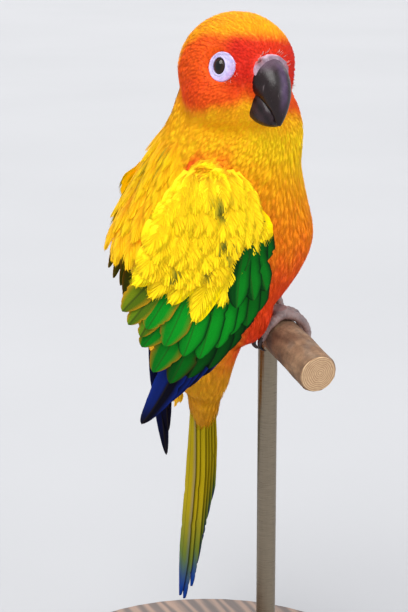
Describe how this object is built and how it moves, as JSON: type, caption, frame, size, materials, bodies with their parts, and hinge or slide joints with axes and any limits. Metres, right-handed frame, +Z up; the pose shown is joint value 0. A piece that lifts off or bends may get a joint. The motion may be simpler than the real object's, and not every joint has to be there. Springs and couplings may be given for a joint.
{
  "type": "sun conure",
  "caption": "Life-size sun conure on a short cut perch, head turned to its right, tail hanging, held by a rod on a round base.",
  "frame": {"origin": "centre of the stand's base, on its underside", "axes": "+Z up, +X the way the bird's body faces, +Y the bird's left"},
  "size_m": [0.1276, 0.1276, 0.2575],
  "materials": {
    "torso_feathers": "soft orange body feathers",
    "neck_feathers": "soft yellow-orange feathers",
    "head_feathers": "short yellow to red-orange feathers",
    "bill_horn": "smooth black horn",
    "cere_skin": "bare pinkish skin",
    "eye": "wet dark eye",
    "wing_feathers": "yellow, green and blue flight feathers and coverts",
    "tail_feathers": "olive and blue tail feathers",
    "thigh_feathers": "soft red-orange feathers",
    "foot_skin": "scaly grey skin",
    "stand_wood": "satin stained wood",
    "stand_metal": "satin rod",
    "perch_bark": "bark-covered branch with cut ends"
  },
  "bodies": {
    "root": {"torso": "torso_feathers", "neck": "neck_feathers", "head": "head_feathers", "bill_upper": "bill_horn", "bill_lower": "bill_horn", "cere": "cere_skin", "eye_right": "eye", "eye_left": "eye", "wing_right": "wing_feathers", "wing_left": "wing_feathers", "tail": "tail_feathers", "thigh_right": "thigh_feathers", "thigh_left": "thigh_feathers", "foot_right": "foot_skin", "foot_left": "foot_skin", "stand_base": "stand_wood", "stand_rod": "stand_metal", "stand_perch": "perch_bark"}
  },
  "joints": []
}
